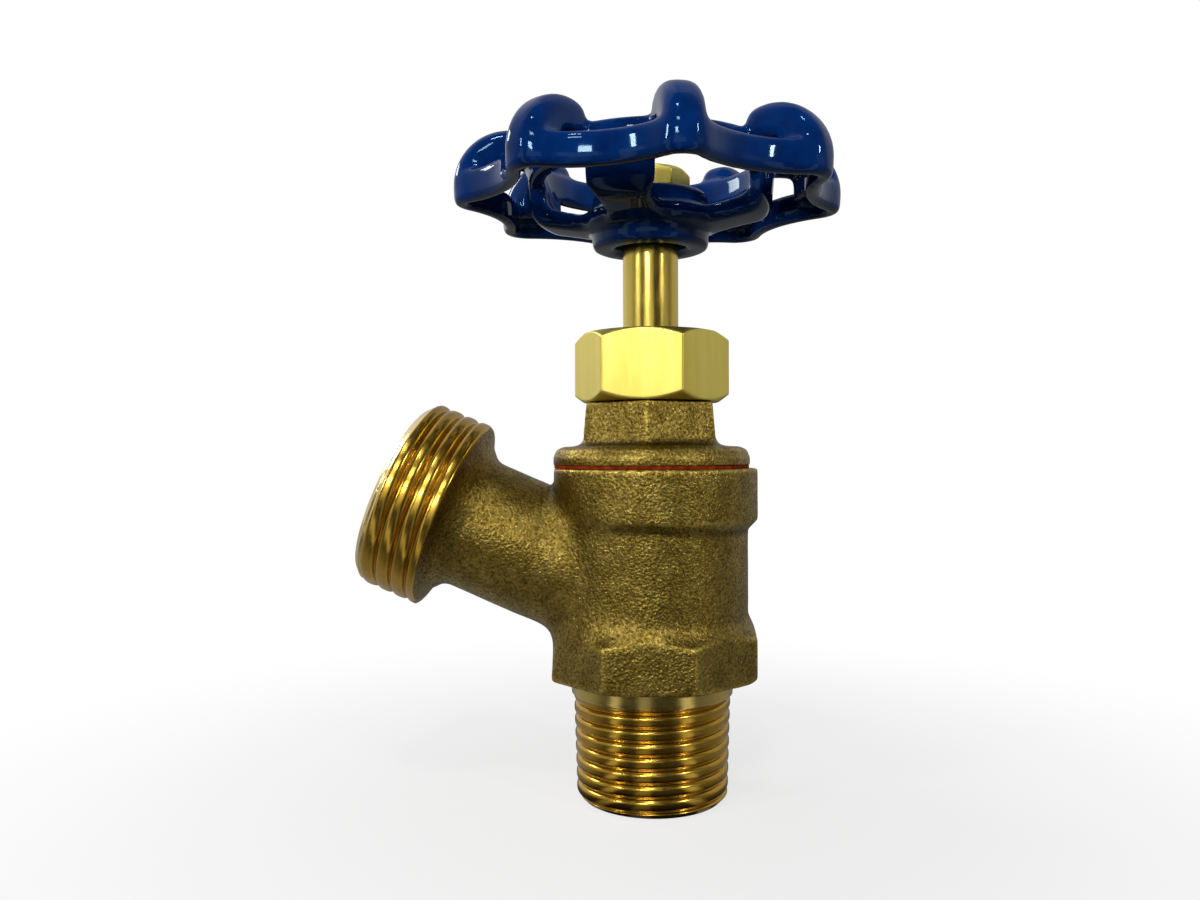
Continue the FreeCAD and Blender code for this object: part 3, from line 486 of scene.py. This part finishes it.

# the wear settings also place painted shade in the hollows and painted highlight on the edges
bodyLook = {"voxel": 0.36, "smoothing": 2, "waveLength": 2.8, "waveHeight": 0.06,
            "wearAndShadeRounds": 8, "wearAndShadeDepth": 0.13, "threadTop": 16.6, "collarEnd": 30.6,
            "hollowRounds": 160, "hollowWidth": 6.0, "hollowSink": -0.6, "hollowTop": 42.0,
            "hollowFade": 3.0, "neck": 9.2, "barrel": 13.3, "coveFoot": 26.0,
            "lipRadius": 13.3, "lipFoot": 10.3, "lipReach": 3.3, "lipShare": 0.55}
bodyCuts = [(Vector((0, 0, bodyLook["threadTop"] * mm)), Vector((0, 0, -1))),
            (Vector((spoutStart + spoutUp * bodyLook["collarEnd"]) * mm), Vector(spoutUp))]


def spoutFrame(points):
    # distance along the spout's axis, and distance from it
    along = (points - spoutStart) @ spoutUp
    return along, np.linalg.norm(points - spoutStart - along[:, None] * spoutUp, axis=1)


def spoutFoot(points, look):
    # 1 where the spout's neck meets the barrel, falling to 0 over the width on either side
    along, offAxis = spoutFrame(points)
    offNeck = offAxis - look["neck"]
    offBarrel = np.hypot(points[:, 0], points[:, 1]) - look["barrel"]
    away = np.maximum(offNeck, offBarrel)
    outside = (np.minimum(offNeck, offBarrel) > look["hollowSink"]) & (along > 0)
    outside &= along < look["coveFoot"]
    under = np.clip((look["hollowTop"] - points[:, 2]) / look["hollowFade"], 0.0, 1.0)
    return np.clip(1.0 - away / look["hollowWidth"], 0.0, 1.0) * outside * under


def thinLip(points, look):
    # the collar's back face leans towards its front face, more and more out to the rim
    along, offAxis = spoutFrame(points)
    out = np.clip((offAxis - look["lipFoot"]) / (look["lipRadius"] - look["lipFoot"]), 0.0, 1.0)
    behind = look["collarEnd"] - along
    lip = (behind > 0) & (behind < look["lipReach"])
    shift = np.where(lip, behind * look["lipShare"] * out, 0.0)
    return points + shift[:, None] * spoutUp


castBody = dressPiece("castBody", softened("castBody", mergedCopy("valve_body", bodyCuts),
                                           bodyLook, spoutFoot, thinLip),
                      "valve", castBronze)
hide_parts("valve_body")
print("body cast:", len(castBody.data.polygons), "faces")

bonnetLook = {"voxel": 0.25, "smoothing": 2, "waveLength": 2.0, "waveHeight": 0.05,
              "wearAndShadeRounds": 8, "wearAndShadeDepth": 0.08, "hollowRounds": 60, "hollowWidth": 1.3,
              "hollowPeak": 1.3, "neckFoot": 48.1, "neckInside": 8.4, "neckOutside": 11.6}


def neckFoot(points, look):
    # 1 where the six-sided neck stands on the flange, falling to 0 above and below
    away = np.abs(points[:, 2] - look["neckFoot"])
    across = np.hypot(points[:, 0], points[:, 1])
    outside = (across > look["neckInside"]) & (across < look["neckOutside"])
    return np.clip(look["hollowPeak"] - away / look["hollowWidth"], 0.0, 1.0) * outside


castBonnet = dressPiece("castBonnet", softened("castBonnet", mergedCopy("bonnet"), bonnetLook,
                                               neckFoot),
                        "valve", castBronze)
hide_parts("bonnet")
print("bonnet cast:", len(castBonnet.data.polygons), "faces")

wheelLook = {"voxel": 0.34, "smoothing": 11, "waveLength": 6.0, "waveHeight": 0.02}
enamelWheel = dressPiece("enamelWheel", softened("enamelWheel", mergedCopy("handwheel"),
                                                 wheelLook),
                         "spindle", blueEnamel)
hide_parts("handwheel")
print("wheel cast:", len(enamelWheel.data.polygons), "faces")


# Screwed ends: a closed outline of (radius, height) carried round the axis, whose threaded
# stretch is cut by a helical groove. The blend rounds the crests into the end's chamfer, and
# the lap takes the flat end a little under it.

inletEnd = {"columns": 180, "pitch": 1.814, "depth": 0.60, "power": 3.2, "crestAt": 0.42,
            "tip": 10.36, "taper": 0.03125, "length": 14.2, "ring": 11.1, "ringTop": 16.62,
            "bore": 6.35, "chamfer": 0.8, "step": 0.065, "edge": 0.18, "blend": 0.12,
            "lap": 0.1, "boreStep": 0.8, "ringStep": 0.6}
hoseEnd = {"columns": 200, "pitch": 2.209, "depth": 0.75, "power": 3.5, "crestAt": 33.24,
           "crest": 13.46, "mouth": 38.85, "start": 30.0, "bore": 9.0, "chamfer": 1.1,
           "step": 0.07, "edge": 0.2, "blend": 0.12, "lap": 0.1, "boreStep": 0.8}

ringBand = {"along": (0.0, 0.0, 1.0), "low": inletEnd["length"] - 0.2,
            "high": inletEnd["length"] + 0.1, "colour": (0.66, 0.49, 0.14)}
hoseShoulder = float(spoutStart @ spoutUp) + hoseEnd["mouth"] - hoseEnd["chamfer"]
# the mouth band is paler turned brass and partly a painted highlight on the chamfer and end face
mouthBandAndHighlight = {"along": spoutUp, "low": hoseShoulder - 0.1, "high": hoseShoulder + 0.05,
             "colour": (0.88, 0.71, 0.36)}
inletBrass = metalMaterial("inletBrass", threadLook, ringBand)
hoseBrass = metalMaterial("hoseBrass", threadLook, mouthBandAndHighlight)


def inletPoints(spec):
    # up the bore's wall and out over the flat end, up the thread and round the plain ring
    angle = roundAngles(spec["columns"])
    edge, ring, top = spec["edge"], spec["ring"], spec["ringTop"]
    inside = densify([(spec["bore"], top), (spec["bore"], edge), (spec["bore"] + edge, 0.0),
                      (spec["tip"] - spec["chamfer"] - spec["lap"], 0.0)], spec["boreStep"])
    height = np.arange(0.0, spec["length"], spec["step"])
    outside = densify([(ring - edge, spec["length"]), (ring, spec["length"] + edge),
                       (ring, top - edge), (ring - edge, top), (spec["bore"], top)],
                      spec["ringStep"])
    crest = spec["tip"] + spec["taper"] * height
    bevel = spec["tip"] - spec["chamfer"] + height
    cut = threadCut(angle, height[:, None] - spec["crestAt"], spec["pitch"], spec["depth"],
                    spec["power"])
    thread = smoothMin(crest[:, None] - cut, bevel[:, None] + 0 * cut, spec["blend"])
    radius = np.vstack([inside[:, :1] + 0 * angle, thread, outside[:, :1] + 0 * angle])
    rise = np.concatenate([inside[:, 1], height, outside[:, 1]])[:, None] + 0 * angle
    return np.stack([radius * np.cos(angle), radius * np.sin(angle), rise], -1)


def hosePoints(spec):
    # the same along the spout's axis: out from the collar over the thread to the mouth, and
    # back along the bore
    angle = roundAngles(spec["columns"])
    edge, mouth = spec["edge"], spec["mouth"]
    reach = np.arange(spec["start"], mouth, spec["step"])
    inside = densify([(spec["crest"] - spec["chamfer"] - spec["lap"], mouth),
                      (spec["bore"] + edge, mouth), (spec["bore"], mouth - edge),
                      (spec["bore"], spec["start"])], spec["boreStep"])
    bevel = spec["crest"] - spec["chamfer"] + (mouth - reach)
    cut = threadCut(angle, reach[:, None] - spec["crestAt"], spec["pitch"], spec["depth"],
                    spec["power"])
    thread = smoothMin(spec["crest"] - cut, bevel[:, None] + 0 * cut, spec["blend"])
    radius = np.vstack([thread, inside[:, :1] + 0 * angle])
    along = np.concatenate([reach, inside[:, 1]])[:, None] + 0 * angle
    return (spoutStart + along[..., None] * spoutUp
            + (radius * np.cos(angle))[..., None] * spoutAcross
            + (radius * np.sin(angle))[..., None] * spoutSide)


inletGrid = inletPoints(inletEnd)
inletThread = addPiece("inletThread", inletGrid, gridFaces(*inletGrid.shape[:2]),
                       "valve", inletBrass)
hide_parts("valve_body")
hoseGrid = hosePoints(hoseEnd)
hoseThread = addPiece("hoseThread", hoseGrid, gridFaces(*hoseGrid.shape[:2]),
                      "valve", hoseBrass)
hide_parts("valve_body")
print("threads cut:", len(inletThread.data.polygons), len(hoseThread.data.polygons), "faces")


# Nuts: six-sided bars with a hole, and a wider recess up to the ceiling

packingNut = {"flats": 18.7, "low": 54.2, "high": 63.6, "hole": 4.03, "turn": -5.8,
              "start": 9.35, "slope": 1.45, "round": 0.22, "columns": 360, "step": 0.16,
              "recess": 8.05, "ceiling": 61.0, "coneBlend": 0.1, "lap": 0.5, "holeEdge": 0.15,
              "recessEdge": 0.1, "holeStep": 0.7}
wheelNut = {"flats": 9.525, "low": 82.9, "high": 86.1, "hole": 2.46, "turn": 3.0,
            "start": 4.7, "slope": 1.5, "round": 0.14, "columns": 240, "step": 0.12,
            "recess": 2.46, "ceiling": 84.0, "coneBlend": 0.1, "lap": 0.5, "holeEdge": 0.15,
            "recessEdge": 0.1, "holeStep": 0.7}


def nutPoints(spec):
    # outside, the radius at an angle and a height is the lowest of the flat, the upper cone and
    # the lower cone, rounded where they cross; then down the hole and the recess
    angle = roundAngles(spec["columns"])
    height = np.linspace(spec["low"], spec["high"],
                         int((spec["high"] - spec["low"]) / spec["step"]))[:, None]
    sector = math.pi / 3
    turned = np.mod(angle + math.pi / 2 - math.radians(spec["turn"]) + sector / 2, sector)
    flat = spec["flats"] / 2 / np.cos(turned - sector / 2)
    upper = spec["start"] + (spec["high"] - height) * spec["slope"]
    lower = spec["start"] + (height - spec["low"]) * spec["slope"]
    cones = smoothMin(upper, lower, spec["coneBlend"])
    side = smoothMin(flat + 0 * height, cones + 0 * angle, spec["round"])
    hole, recess = spec["hole"], spec["recess"]
    inward = densify([(spec["start"] - spec["lap"], spec["high"]),
                      (hole + spec["holeEdge"], spec["high"]),
                      (hole, spec["high"] - spec["holeEdge"]), (hole, spec["ceiling"]),
                      (recess, spec["ceiling"]), (recess, spec["low"] + spec["recessEdge"]),
                      (recess + spec["recessEdge"], spec["low"])], spec["holeStep"])
    radius = np.vstack([side, inward[:, :1] + 0 * angle])
    rise = np.concatenate([height[:, 0], inward[:, 1]])[:, None] + 0 * angle
    return np.stack([radius * np.cos(angle), radius * np.sin(angle), rise], -1)


nutGrid = nutPoints(packingNut)
brassNut = addPiece("brassNut", nutGrid, gridFaces(*nutGrid.shape[:2]),
                    "valve", brightBrass)
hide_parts("packing_nut")
smallGrid = nutPoints(wheelNut)
topNut = addPiece("topNut", smallGrid, gridFaces(*smallGrid.shape[:2]),
                  "spindle", brightBrass)
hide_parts("handwheel_nut")
print("nuts made")


# Stem: a turned bar from the button in the disc holder up to the screwed end in the top nut

stemBar = {"columns": 128, "turn": 10.4, "pitch": 2.117, "depth": 0.85, "crest": 0.785,
           "flank": 14.5, "edge": 0.12, "corner": 0.001, "centre": 0.01}
stemRuns = {  # from, to, radius (or flats), and the step between rows
    "button": (37.70, 39.70, 3.60, 0.5), "neck": (39.72, 41.02, 2.50, 0.4),
    "lead": (41.02, 53.87, 5.30, 0.09), "shank": (53.87, 77.20, 3.83, 1.5),
    "square": (77.20, 82.85, 5.60, 0.8), "stud": (82.85, 86.70, 2.41, 0.4),
}


def stemPoints(spec, runs):
    # the radius at an angle and a height is the run's own, less the groove of the lead thread
    # or down to the four flats of the square, and less the edge's break at both ends of a run
    angle = roundAngles(spec["columns"])
    edge, corner = spec["edge"], spec["corner"]
    shank = runs["shank"][2]
    rows, radii = [], []
    for name, (low, high, size, step) in runs.items():
        height = np.concatenate([[low, low + corner], np.arange(low + edge, high - edge, step),
                                 [high - edge, high - corner]])[:, None]
        radius = size + 0 * height + 0 * angle
        if name == "lead":
            swing = np.mod((height - low) / spec["pitch"] - angle / (2 * math.pi) + 0.5, 1.0)
            away = np.abs(swing - 0.5) * spec["pitch"] - spec["crest"] / 2
            slope = math.tan(math.radians(spec["flank"]))
            radius = size - np.clip(away / slope, 0.0, spec["depth"])
        if name == "square":
            turned = np.mod(angle - math.radians(spec["turn"]) + math.pi / 4, math.pi / 2)
            radius = np.minimum(size / 2 / np.cos(turned - math.pi / 4), shank) + 0 * height
        ends = (height < low + corner * 0.5) | (height > high - corner * 1.5)
        rows.append(height + 0 * angle)
        radii.append(radius - edge * ends)
    flat = np.full((1, spec["columns"]), spec["centre"])
    radii = [flat] + radii + [radii[-1][-1:] * 0.5, flat]
    rows = [rows[0][:1]] + rows + [0 * flat + runs["stud"][1]] * 2
    radius, rise = np.vstack(radii), np.vstack(rows)
    return np.stack([radius * np.cos(angle), radius * np.sin(angle), rise], -1)


stemGrid = stemPoints(stemBar, stemRuns)
brassStem = addPiece("brassStem", stemGrid, gridFaces(*stemGrid.shape[:2]),
                     "spindle", turnedBrass)
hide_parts("stem")
print("stem turned")


# Frame nodes that keep their shape

nodeFinish = {
    "bonnet_gasket": redFibre, "packing_ring_lower": packingYarn,
    "packing_ring_middle": packingYarn, "packing_ring_upper": packingYarn,
    "packing_gland": turnedBrass, "disc_holder": turnedBrass, "seat_washer": blackRubber,
    "seat_screw": turnedBrass,
}
for node, finish in nodeFinish.items():
    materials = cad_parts[node].data.materials
    materials.clear()
    materials.append(finish)
print("frame nodes finished")


# Studio. Cards and backdrops are (degrees round the stem, level); the floor's size and the
# lamps' distances and sizes are metres; cardTop and cardFade are sines of the rise at which
# the cards begin to fade and are gone.

studio = {"floorSize": 6.0, "floorGap": 0.1, "floorColour": (0.85, 0.85, 0.85),
          "floorRoughness": 0.9, "floorGlow": 0.74, "fadeStart": 15.0, "fadeEnd": 125.0,
          "fill": 0.04, "floorMirror": 0.70, "nearShade": 0.14, "shadeFrom": 12.0,
          "shadeTo": 20.0, "cardTop": 0.17, "cardFade": 0.23,
          "skyCards": [(-180, 0.0), (-66, 0.0), (-62, 0.8), (-44, 0.8), (-40, 0.0), (-27, 0.0),
                       (-23, 0.8), (11, 0.8), (15, 0.0), (46, 0.0), (54, 0.3), (74, 0.3),
                       (84, 0.0), (180, 0.0)],
          "floorCards": [(-180, 0.0), (-55, 0.0), (-51, 1.0), (-43, 1.0), (-39, 0.0),
                         (-17, 0.0), (-14, 0.45), (-2, 0.45), (1, 0.0), (38, 0.0),
                         (41, 1.0), (53, 1.0), (57, 0.0), (180, 0.0)],
          "skyBackdrop": [(-180, 0.35), (-145, 0.76), (-125, 0.76), (-105, 0.60), (-85, 0.60),
                          (-62, 0.14), (-40, 0.07), (1, 0.06), (40, 0.07), (62, 0.14),
                          (90, 0.22), (105, 0.54), (130, 0.54), (180, 0.35)],
          "floorBackdrop": [(-180, 0.22), (-145, 0.30), (-125, 0.56), (-85, 0.46),
                            (-62, 0.12), (-40, 0.08), (1, 0.06), (40, 0.08), (62, 0.20),
                            (90, 0.34), (115, 0.44), (140, 0.30), (180, 0.22)]}


def roundStem(nodes, links, split, stops):
    # a level for each direction round the stem: 0 degrees is the front, -90 the spout's side
    towards = mathNode(nodes, links, "MULTIPLY", split.outputs["Y"], -1.0)
    angle = mathNode(nodes, links, "ARCTAN2", split.outputs["X"], towards)
    share = rangeNode(nodes, links, angle, -math.pi, math.pi, 0.0, 1.0)
    stops = [((degrees + 180.0) / 360.0, (level,) * 3) for degrees, level in stops]
    return rampNode(nodes, links, share.outputs["Result"], stops).outputs["Color"]


def blendNode(nodes, links, factor, first, second):
    mix = nodes.new("ShaderNodeMix")
    for socket, source in zip((mix.inputs["Factor"], mix.inputs["A"], mix.inputs["B"]),
                              (factor, first, second)):
        if isinstance(source, float):
            socket.default_value = source
        else:
            links.new(source, socket)
    return mix.outputs["Result"]


def seenBy(nodes, links, mirrored, fill):
    # white to the eye, the cards to metal and glass, and a low fill to everything else
    path = nodes.new("ShaderNodeLightPath")
    shiny = mathNode(nodes, links, "ADD", path.outputs["Is Glossy Ray"],
                     path.outputs["Is Transmission Ray"])
    level = blendNode(nodes, links, shiny, fill, mirrored)
    return path.outputs["Is Camera Ray"], blendNode(nodes, links, path.outputs["Is Camera Ray"],
                                                    level, 1.0)


def floorMaterial(spec):
    # pale floor that fades to the white background and keeps a soft shadow for the eye;
    # a mirror sees the backdrop and the cards in it, and the dark under the object
    material, nodes, links, shader = newMaterial("paleFloor")
    shader.inputs["Base Color"].default_value = (*spec["floorColour"], 1.0)
    shader.inputs["Roughness"].default_value = spec["floorRoughness"]
    place = nodes.new("ShaderNodeTexCoord").outputs["Object"]
    split = nodes.new("ShaderNodeSeparateXYZ")
    links.new(place, split.inputs["Vector"])
    reach = mathNode(nodes, links, "LENGTH", place)
    both = mathNode(nodes, links, "ADD", roundStem(nodes, links, split, spec["floorBackdrop"]),
                    roundStem(nodes, links, split, spec["floorCards"]))
    shade = rangeNode(nodes, links, reach, spec["shadeFrom"] * mm, spec["shadeTo"] * mm,
                      spec["nearShade"], spec["floorMirror"])
    mirrored = mathNode(nodes, links, "MULTIPLY", both, shade.outputs["Result"])
    eye, strength = seenBy(nodes, links, mirrored, spec["fill"])
    glow = nodes.new("ShaderNodeEmission")
    glow.inputs["Color"].default_value = (1.0, 1.0, 1.0, 1.0)
    links.new(strength, glow.inputs["Strength"])
    fade = rangeNode(nodes, links, reach, spec["fadeStart"] * mm, spec["fadeEnd"] * mm,
                     spec["floorGlow"], 1.0)
    fade.interpolation_type = "SMOOTHSTEP"
    mix = nodes.new("ShaderNodeMixShader")
    links.new(blendNode(nodes, links, eye, 1.0, fade.outputs["Result"]), mix.inputs["Fac"])
    links.new(shader.outputs["BSDF"], mix.inputs[1])
    links.new(glow.outputs["Emission"], mix.inputs[2])
    links.new(mix.outputs["Shader"], nodes["Material Output"].inputs["Surface"])
    return material


half = studio["floorSize"] / 2
floorMesh = bpy.data.meshes.new("floor")
floorMesh.from_pydata([(-half, -half, 0), (half, -half, 0), (half, half, 0), (-half, half, 0)],
                      [], [(0, 1, 2, 3)])
floorMesh.materials.append(floorMaterial(studio))
floor = bpy.data.objects.new("floor", floorMesh)
floor.location.z = cadBox[0][2] - studio["floorGap"] * mm
bpy.context.scene.collection.objects.link(floor)


def paintSky(spec):
    # white to the eye; to a mirror a pale backdrop all the way up, and cards near the table
    world = bpy.data.worlds.new("studio")
    bpy.context.scene.world = world
    world.use_nodes = True
    nodes, links = world.node_tree.nodes, world.node_tree.links
    place = nodes.new("ShaderNodeTexCoord").outputs["Generated"]
    split = nodes.new("ShaderNodeSeparateXYZ")
    links.new(place, split.inputs["Vector"])
    low = rangeNode(nodes, links, split.outputs["Z"], spec["cardTop"], spec["cardFade"], 1.0, 0.0)
    cards = mathNode(nodes, links, "MULTIPLY", low.outputs["Result"],
                     roundStem(nodes, links, split, spec["skyCards"]))
    mirrored = mathNode(nodes, links, "ADD", cards,
                        roundStem(nodes, links, split, spec["skyBackdrop"]))
    eye, strength = seenBy(nodes, links, mirrored, spec["fill"])
    background = nodes["Background"]
    background.inputs["Color"].default_value = (1.0, 1.0, 1.0, 1.0)
    links.new(strength, background.inputs["Strength"])


paintSky(studio)

lamps = {
    "leftBox": {"swing": -53.0, "rise": 21.0, "far": 0.60, "size": (0.04, 0.10), "power": 0.62},
    "frontBox": {"swing": -12.0, "rise": 17.5, "far": 0.62, "size": (0.11, 0.05), "power": 0.75},
    "rightBox": {"swing": 50.0, "rise": 21.0, "far": 0.60, "size": (0.03, 0.10), "power": 0.62},
    "edgeBox": {"swing": -112.0, "rise": 30.0, "far": 0.50, "size": (0.14, 0.08), "power": 0.45},
    "highBox": {"swing": -5.0, "rise": 34.0, "far": 0.60, "size": (0.09, 0.05), "power": 0.34},
    "topBox": {"swing": -8.0, "rise": 58.0, "far": 0.60, "size": (0.06, 0.04), "power": 0.45},
}
aim = Vector((0.0, 0.0, 0.05))
for name, lamp in lamps.items():
    swing, rise = math.radians(lamp["swing"]), math.radians(lamp["rise"])
    spot = aim + lamp["far"] * Vector((math.sin(swing) * math.cos(rise),
                                       -math.cos(swing) * math.cos(rise), math.sin(rise)))
    light = bpy.data.lights.new(name, "AREA")
    light.shape = "RECTANGLE"
    light.size, light.size_y = lamp["size"]
    light.energy = lamp["power"]
    holder = bpy.data.objects.new(name, light)
    holder.location = spot
    holder.rotation_euler = (aim - spot).to_track_quat("-Z", "Y").to_euler()
    bpy.context.scene.collection.objects.link(holder)

# The camera's turns are radians, its focal length and width are pixels of the photo, and its
# clip is metres.

view = {"at": (3.29, -135.0, 46.95), "yaw": 0.077, "pitch": 0.005, "roll": 0.003,
        "focal": 970.3, "width": 1200.0, "sensor": 36.0, "clip": (0.01, 20.0)}
camera = bpy.data.cameras.new("camera")
camera.sensor_width = view["sensor"]
camera.lens = view["focal"] / view["width"] * view["sensor"]
camera.clip_start, camera.clip_end = view["clip"]
eyeHolder = bpy.data.objects.new("camera", camera)
eyeHolder.location = Vector(view["at"]) * mm
eyeHolder.rotation_euler = (math.pi / 2 + view["pitch"], view["roll"], view["yaw"])
bpy.context.scene.collection.objects.link(eyeHolder)
bpy.context.scene.camera = eyeHolder
bpy.context.scene.view_settings.view_transform = "Standard"
print("studio set")
